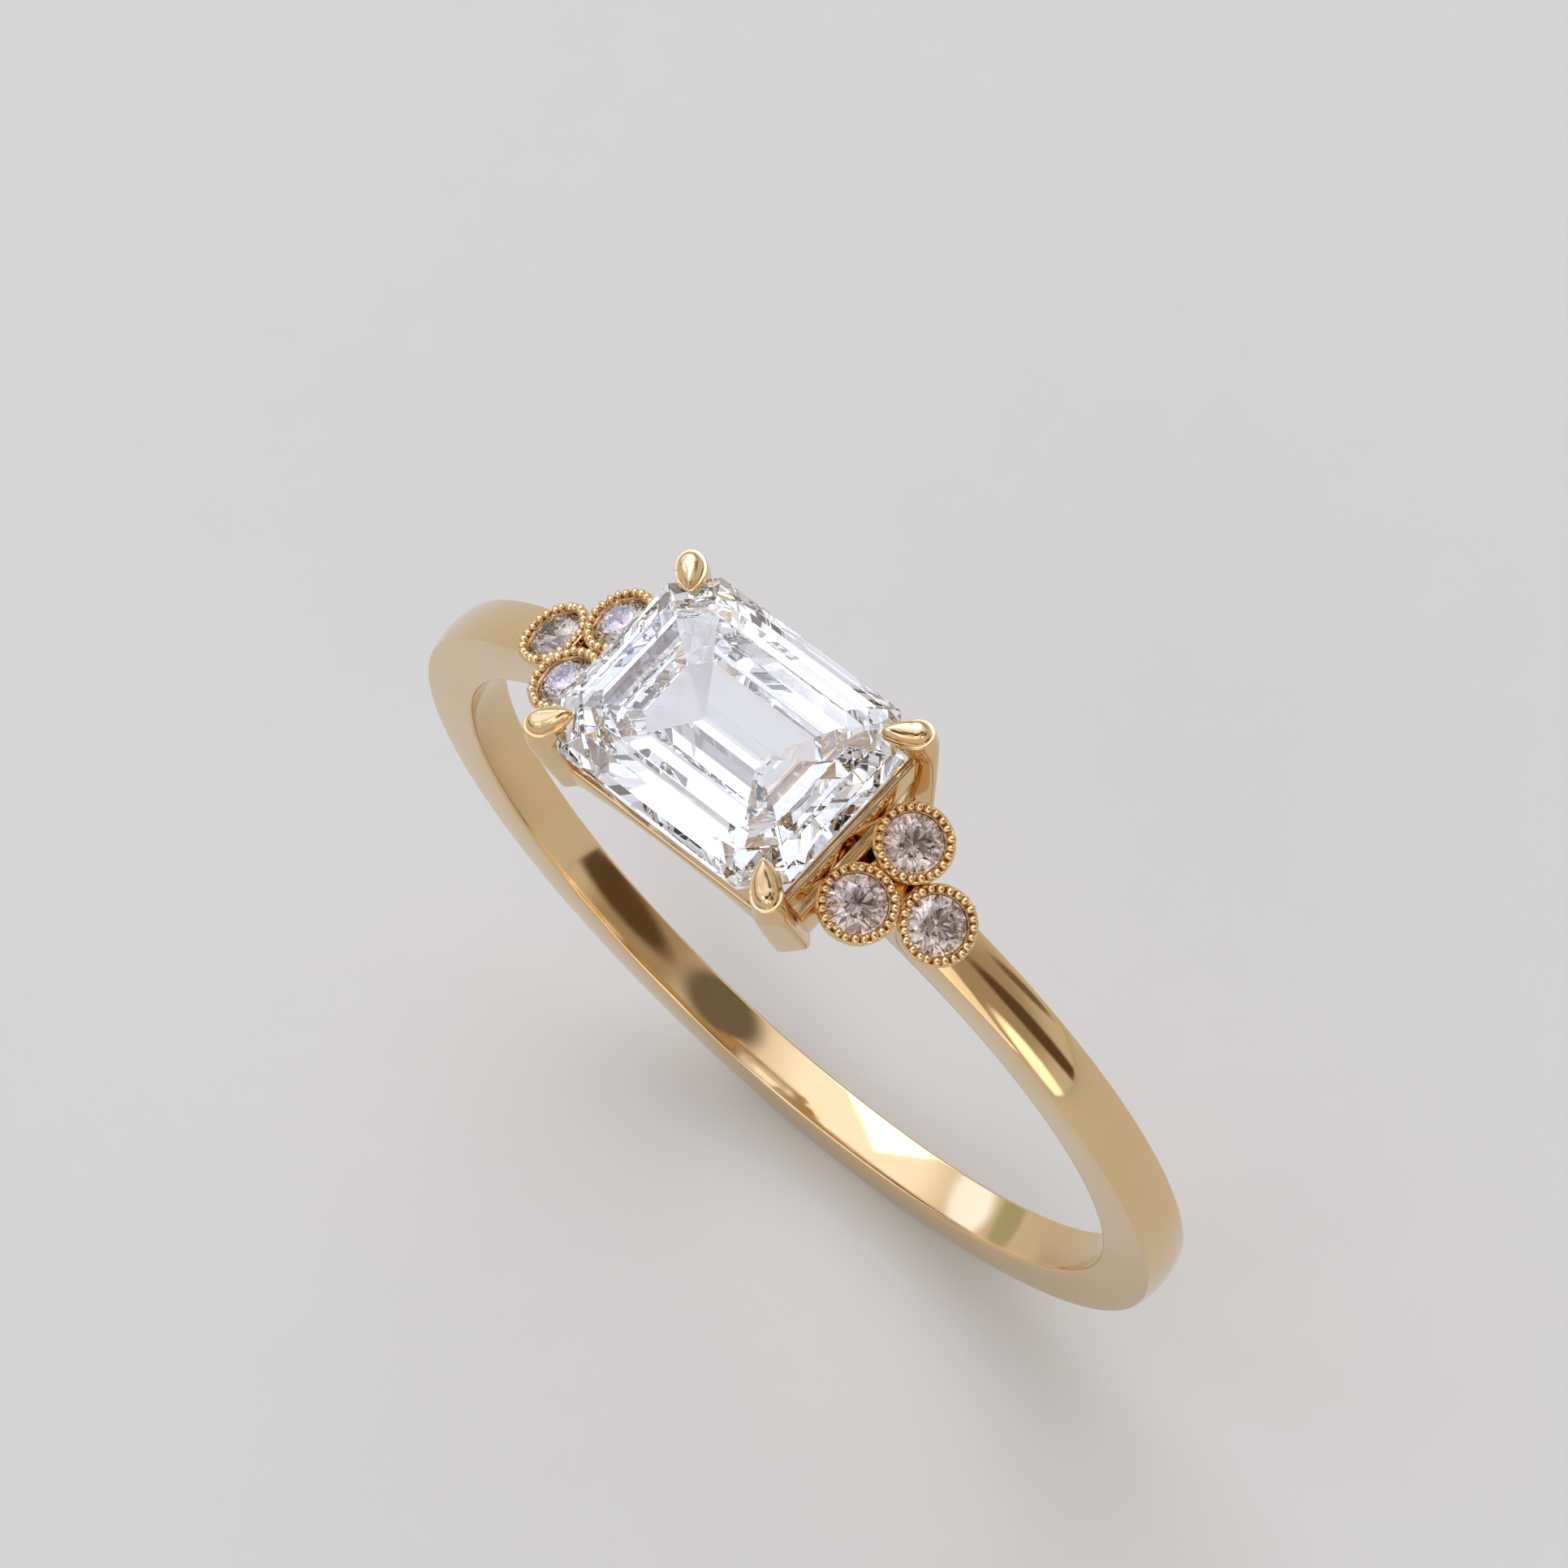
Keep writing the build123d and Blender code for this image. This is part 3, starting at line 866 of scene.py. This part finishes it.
def build_accent_stones(size, cup):
    """Six small brilliants, each turned a little further in its cup than the one before."""
    points, faces = brilliant_facets(size.accent_radius, size.accent_girdle_half)
    turn_step = radians(17)
    for i, (name, place) in enumerate(cup_places().items()):
        seat = Matrix.Translation((0, 0, -cup.girdle_depth)) @ Matrix.Rotation(turn_step * i, 4, "Z")
        piece_name = "accent_stone_" + name
        stone = object_from(piece_name + "_cut", [place @ seat @ point for point in points], faces)
        finish_piece(stone, finish_named("blush_stone"), [piece_name], crease=None)


# ------------------------------------------------------------------ stage

# Colour sockets of the mix node
MIX_FIRST, MIX_SECOND, MIX_RESULT = 6, 7, 2

# The dome's colour at the horizon, a third of the way up and overhead
DOME_LOW, DOME_MIDDLE, DOME_HIGH = (0.72, 0.69, 0.66, 1), (0.86, 0.86, 0.89, 1), (1.0, 1.0, 1.03, 1)
DOME_MIDDLE_AT, DOME_STRENGTH = 0.35, 0.92

FLOOR_HALF = 3.0

# The camera's own axes, the point it is set from and its place along those axes in millimetres
CAMERA_RIGHT, CAMERA_BACK = (0.7379, 0.6625, -0.1285), (0.3788, -0.2489, 0.8914)
HEAD_HEIGHT = 10.182
TO_RIGHT, TO_UP, TO_BACK = 1.002, -0.952, 110.2


def soft_light(name, size, power, place, tint):
    """A square lamp aimed at the middle of the ring."""
    data = bpy.data.lights.new(name, "AREA")
    data.shape = "SQUARE"
    data.size = size
    data.energy = power
    data.color = tint
    lamp = bpy.data.objects.new(name, data)
    bpy.context.scene.collection.objects.link(lamp)
    lamp.location = place
    lamp.rotation_euler = (-Vector(place)).to_track_quat("-Z", "Y").to_euler()


def facing(azimuth, elevation):
    """Unit direction from degrees, the azimuth counted from +X towards +Y."""
    flat = cos(radians(elevation))
    return Vector((flat * cos(radians(azimuth)), flat * sin(radians(azimuth)), sin(radians(elevation))))


def math_node(tree, operation, x, y, first, second):
    """One arithmetic step on two values, each a number or another node's output."""
    made = node(tree, "ShaderNodeMath", x, y, operation=operation)
    for socket, value in zip(made.inputs, (first, second)):
        if isinstance(value, float):
            socket.default_value = value
        else:
            tree.links.new(value, socket)
    return made.outputs["Value"]


def dot_node(tree, x, y, direction, axis):
    """How far the sky's direction points along an axis."""
    made = node(tree, "ShaderNodeVectorMath", x, y, operation="DOT_PRODUCT")
    tree.links.new(direction, made.inputs[0])
    made.inputs[1].default_value = axis
    return made.outputs["Value"]


def add_panel(tree, row, direction, base, panel):
    """Lays one soft-edged oval panel, light or dark, over the dome's colour."""
    azimuth, elevation, half_width, half_height, softness, tone = panel
    centre = facing(azimuth, elevation)
    across = Vector((0, 0, 1)).cross(centre).normalized()
    upward = centre.cross(across)
    x, y = 200 * row, -300 * row
    along = dot_node(tree, x - 200, y, direction, across)
    u = math_node(tree, "DIVIDE", x, y, along, sin(radians(half_width)))
    rise = dot_node(tree, x - 200, y - 80, direction, upward)
    v = math_node(tree, "DIVIDE", x, y - 80, rise, sin(radians(half_height)))
    u2, v2 = math_node(tree, "MULTIPLY", x, y, u, u), math_node(tree, "MULTIPLY", x, y, v, v)
    reach = math_node(tree, "SQRT", x, y, math_node(tree, "ADD", x, y, u2, v2), 0.0)
    edge = node(tree, "ShaderNodeMapRange", x, y, interpolation_type="SMOOTHSTEP")
    edge.inputs["From Min"].default_value = 1.0 + softness
    edge.inputs["From Max"].default_value = 1.0 - softness
    tree.links.new(reach, edge.inputs["Value"])
    ahead = math_node(tree, "GREATER_THAN", x, y, dot_node(tree, x, y, direction, centre), 0.0)
    mask = math_node(tree, "MULTIPLY", x, y, edge.outputs["Result"], ahead)
    mix = node(tree, "ShaderNodeMix", x + 200, y, data_type="RGBA")
    tree.links.new(mask, mix.inputs["Factor"])
    tree.links.new(base, mix.inputs[MIX_FIRST])
    mix.inputs[MIX_SECOND].default_value = (*tone, 1)
    return mix.outputs[MIX_RESULT]


PANELS = (
    # azimuth, elevation, half width and half height in degrees, softness, colour
    (147, 62, 36, 28, 0.35, (1.45, 1.53, 1.80)),   # wide cool window, high at the back left
    (5, 29, 44, 19, 0.40, (0.46, 0.39, 0.33)),     # dim warm wall at the right
    (-10, 11, 6, 15, 0.30, (2.00, 1.90, 1.75)),    # bright slit, low at the right
    (17, 16, 7, 23, 0.25, (0.12, 0.08, 0.05)),     # dark slit beside it
    (43, 14, 4, 10, 0.35, (0.20, 0.15, 0.10)),     # short dark slit, further back
    (97, 10, 24, 8, 0.40, (0.30, 0.25, 0.21)),     # dim wall, low at the back
    (-112, 14, 22, 10, 0.40, (0.34, 0.29, 0.25)),  # dim wall, low at the front
    (165, 21, 13, 8, 0.30, (1.45, 1.70, 2.40)),    # blue window at the left
    (165, 5, 14, 5, 0.30, (0.50, 0.55, 0.44)),     # its grey-green sill
    (218, 14, 17, 10, 0.40, (0.36, 0.31, 0.27)),   # dim wall at the front left
    (-33, 63, 16, 15, 0.30, (0.10, 0.085, 0.08)),  # dark patch, high at the front right
    (-88, 56, 12, 13, 0.25, (2.00, 1.98, 1.95)),   # bright lamp, high at the front
    (28, 58, 13, 14, 0.30, (0.20, 0.17, 0.155)),   # dim patch, high at the right
)


def studio_sky():
    """A bright soft dome with the windows, slits and dim walls of the panels."""
    world = bpy.data.worlds.new("studio")
    bpy.context.scene.world = world
    world.use_nodes = True
    tree = world.node_tree
    background = tree.nodes["Background"]
    direction = node(tree, "ShaderNodeTexCoord", -900, 0).outputs["Generated"]
    split = node(tree, "ShaderNodeSeparateXYZ", -700, 0)
    tree.links.new(direction, split.inputs["Vector"])
    ramp = node(tree, "ShaderNodeValToRGB", -450, 0)
    stops = ramp.color_ramp.elements
    stops[0].position, stops[0].color = 0.0, DOME_LOW
    stops[1].position, stops[1].color = 1.0, DOME_HIGH
    stops.new(DOME_MIDDLE_AT).color = DOME_MIDDLE
    tree.links.new(split.outputs["Z"], ramp.inputs["Fac"])
    shade = ramp.outputs["Color"]
    for row, panel in enumerate(PANELS):
        shade = add_panel(tree, row, direction, shade, panel)
    tree.links.new(shade, background.inputs["Color"])
    background.inputs["Strength"].default_value = DOME_STRENGTH
    bpy.context.scene.view_settings.view_transform = "Standard"


def place_camera():
    """Looks down on the head from the front right, with the ring across the frame."""
    right, back = Vector(CAMERA_RIGHT).normalized(), Vector(CAMERA_BACK).normalized()
    up = back.cross(right).normalized()
    right = up.cross(back)
    data = bpy.data.cameras.new("camera")
    data.lens = 139.4
    data.sensor_width = 36
    data.clip_start = 0.005
    data.clip_end = 10
    camera = bpy.data.objects.new("camera", data)
    bpy.context.scene.collection.objects.link(camera)
    turn = Matrix((right, up, back)).transposed().to_4x4()
    place = Vector((0, 0, HEAD_HEIGHT)) + right * TO_RIGHT + up * TO_UP + back * TO_BACK
    camera.matrix_world = Matrix.Translation(place * MM) @ turn
    bpy.context.scene.camera = camera


def build_stage():
    """Paper floor under the band, sky, two soft lights, camera and enough light bounces for the stones."""
    corners = ((-1, -1), (1, -1), (1, 1), (-1, 1))
    verts = [(x * FLOOR_HALF, y * FLOOR_HALF, BAND_LOW.z) for x, y in corners]
    floor = object_from("floor", verts, [(0, 1, 2, 3)])
    floor.data.materials.append(finish_named("pale_paper"))
    studio_sky()
    soft_light("window", 0.30, 0.45, (-0.20, 0.25, 0.30), (1.0, 0.99, 0.97))
    soft_light("fill", 0.25, 0.15, (0.25, -0.20, 0.20), (1.0, 0.97, 0.93))
    place_camera()
    light_paths = bpy.context.scene.cycles
    light_paths.max_bounces = 24
    light_paths.glossy_bounces = 16
    light_paths.transmission_bounces = 24


# ------------------------------------------------------------------ operators

class RING_OT_stage(Operator):
    """Add the paper floor, the soft lights and the camera"""
    bl_idname = "ring.stage"
    bl_label = "Stage"

    def execute(self, context):
        build_stage()
        return {"FINISHED"}


class RING_OT_band(Operator):
    """Add the slim domed band"""
    bl_idname = "ring.band"
    bl_label = "Band"

    def execute(self, context):
        build_band(context.scene.ring_band, context.scene.ring_cups)
        return {"FINISHED"}


class RING_OT_bridges(Operator):
    """Add the flared plates that carry the cups"""
    bl_idname = "ring.bridges"
    bl_label = "Shoulder Bridges"

    def execute(self, context):
        build_bridges(context.scene.ring_band, context.scene.ring_cups)
        return {"FINISHED"}


class RING_OT_head_plates(Operator):
    """Add the two grooved plates at the stone's short sides"""
    bl_idname = "ring.head_plates"
    bl_label = "Head Plates"

    def execute(self, context):
        build_head_plates()
        return {"FINISHED"}


class RING_OT_basket(Operator):
    """Add the four bars between the claws' feet"""
    bl_idname = "ring.basket"
    bl_label = "Basket Bars"

    def execute(self, context):
        build_basket(context.scene.ring_band.tongue_radius)
        return {"FINISHED"}


class RING_OT_claws(Operator):
    """Add the four claws with drop-shaped tips"""
    bl_idname = "ring.claws"
    bl_label = "Claws"

    def execute(self, context):
        build_claws(context.scene.ring_claws, context.scene.ring_band.tongue_radius)
        return {"FINISHED"}


class RING_OT_cups(Operator):
    """Add the six beaded cups"""
    bl_idname = "ring.cups"
    bl_label = "Beaded Cups"

    def execute(self, context):
        build_cups(context.scene.ring_cups)
        return {"FINISHED"}


class RING_OT_centre_stone(Operator):
    """Add the step-cut centre stone"""
    bl_idname = "ring.centre_stone"
    bl_label = "Centre Stone"

    def execute(self, context):
        build_centre_stone(context.scene.ring_stones)
        return {"FINISHED"}


class RING_OT_accent_stones(Operator):
    """Add the six round accent stones"""
    bl_idname = "ring.accent_stones"
    bl_label = "Accent Stones"

    def execute(self, context):
        build_accent_stones(context.scene.ring_stones, context.scene.ring_cups)
        return {"FINISHED"}


class RING_PT_panel(Panel):
    """Lists the ring's pieces"""
    bl_idname = "RING_PT_panel"
    bl_label = "Engagement Ring"
    bl_space_type = "VIEW_3D"
    bl_region_type = "UI"
    bl_category = "Ring"

    def draw(self, context):
        for operator in OPERATORS:
            self.layout.operator(operator.bl_idname)
        for group in SETTINGS:
            box = self.layout.box()
            settings = getattr(context.scene, group)
            for key in settings.__annotations__:
                box.prop(settings, key)


OPERATORS = (RING_OT_stage, RING_OT_band, RING_OT_bridges, RING_OT_head_plates, RING_OT_basket,
             RING_OT_claws, RING_OT_cups, RING_OT_centre_stone, RING_OT_accent_stones)
SETTINGS = {
    "ring_band": BandSizes,
    "ring_cups": CupSizes,
    "ring_claws": ClawSizes,
    "ring_stones": StoneSizes,
    "ring_colours": RingColours,
}


def register():
    for group in SETTINGS.values():
        bpy.utils.register_class(group)
    for name, group in SETTINGS.items():
        setattr(bpy.types.Scene, name, PointerProperty(type=group))
    for operator in OPERATORS:
        bpy.utils.register_class(operator)
    bpy.utils.register_class(RING_PT_panel)


def unregister():
    bpy.utils.unregister_class(RING_PT_panel)
    for operator in reversed(OPERATORS):
        bpy.utils.unregister_class(operator)
    for name in SETTINGS:
        delattr(bpy.types.Scene, name)
    for group in reversed(SETTINGS.values()):
        bpy.utils.unregister_class(group)


def main():
    register()
    bpy.ops.ring.stage()
    bpy.ops.ring.band()
    bpy.ops.ring.bridges()
    bpy.ops.ring.head_plates()
    bpy.ops.ring.basket()
    bpy.ops.ring.claws()
    bpy.ops.ring.cups()
    bpy.ops.ring.centre_stone()
    bpy.ops.ring.accent_stones()


if __name__ == "__main__":
    main()
